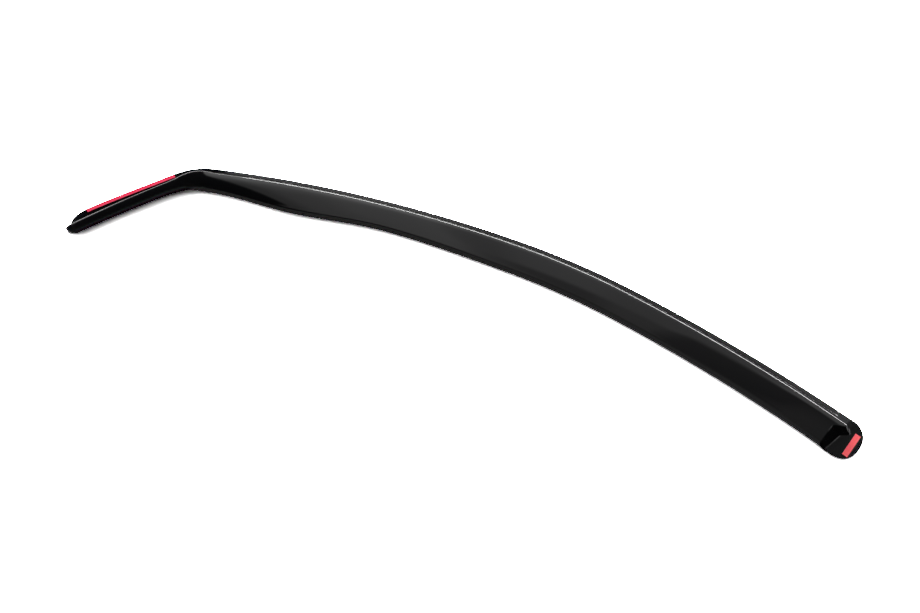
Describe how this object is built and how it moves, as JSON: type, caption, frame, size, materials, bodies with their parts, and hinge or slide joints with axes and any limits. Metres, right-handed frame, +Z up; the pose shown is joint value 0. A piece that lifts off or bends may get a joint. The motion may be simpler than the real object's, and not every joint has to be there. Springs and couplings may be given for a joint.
{
  "type": "window rain deflector",
  "caption": "Long curved smoked acrylic deflector with a channel flange, a raised visor face, a round foot plate and taped ends, for a car's front side window.",
  "frame": {"origin": "under the middle of the part's bounding box, on the ground that the flange lies on", "axes": "+X along the length, towards the foot; +Y towards the outside of the bow, where the flange is; +Z up, out of the visor's outer face"},
  "size_m": [0.9894, 0.1972, 0.0122],
  "materials": {
    "smoked_acrylic": "polished, nearly opaque smoke tint",
    "foam": "closed-cell acrylic foam tape",
    "foot_liner": "thin release film, satin",
    "leg_liner": "thin release film, satin"
  },
  "bodies": {
    "root": {"visor": "smoked_acrylic", "foot_foam_tape": "foam", "foot_release_liner": "foot_liner", "leg_foam_tape": "foam", "leg_release_liner": "leg_liner"}
  },
  "joints": []
}
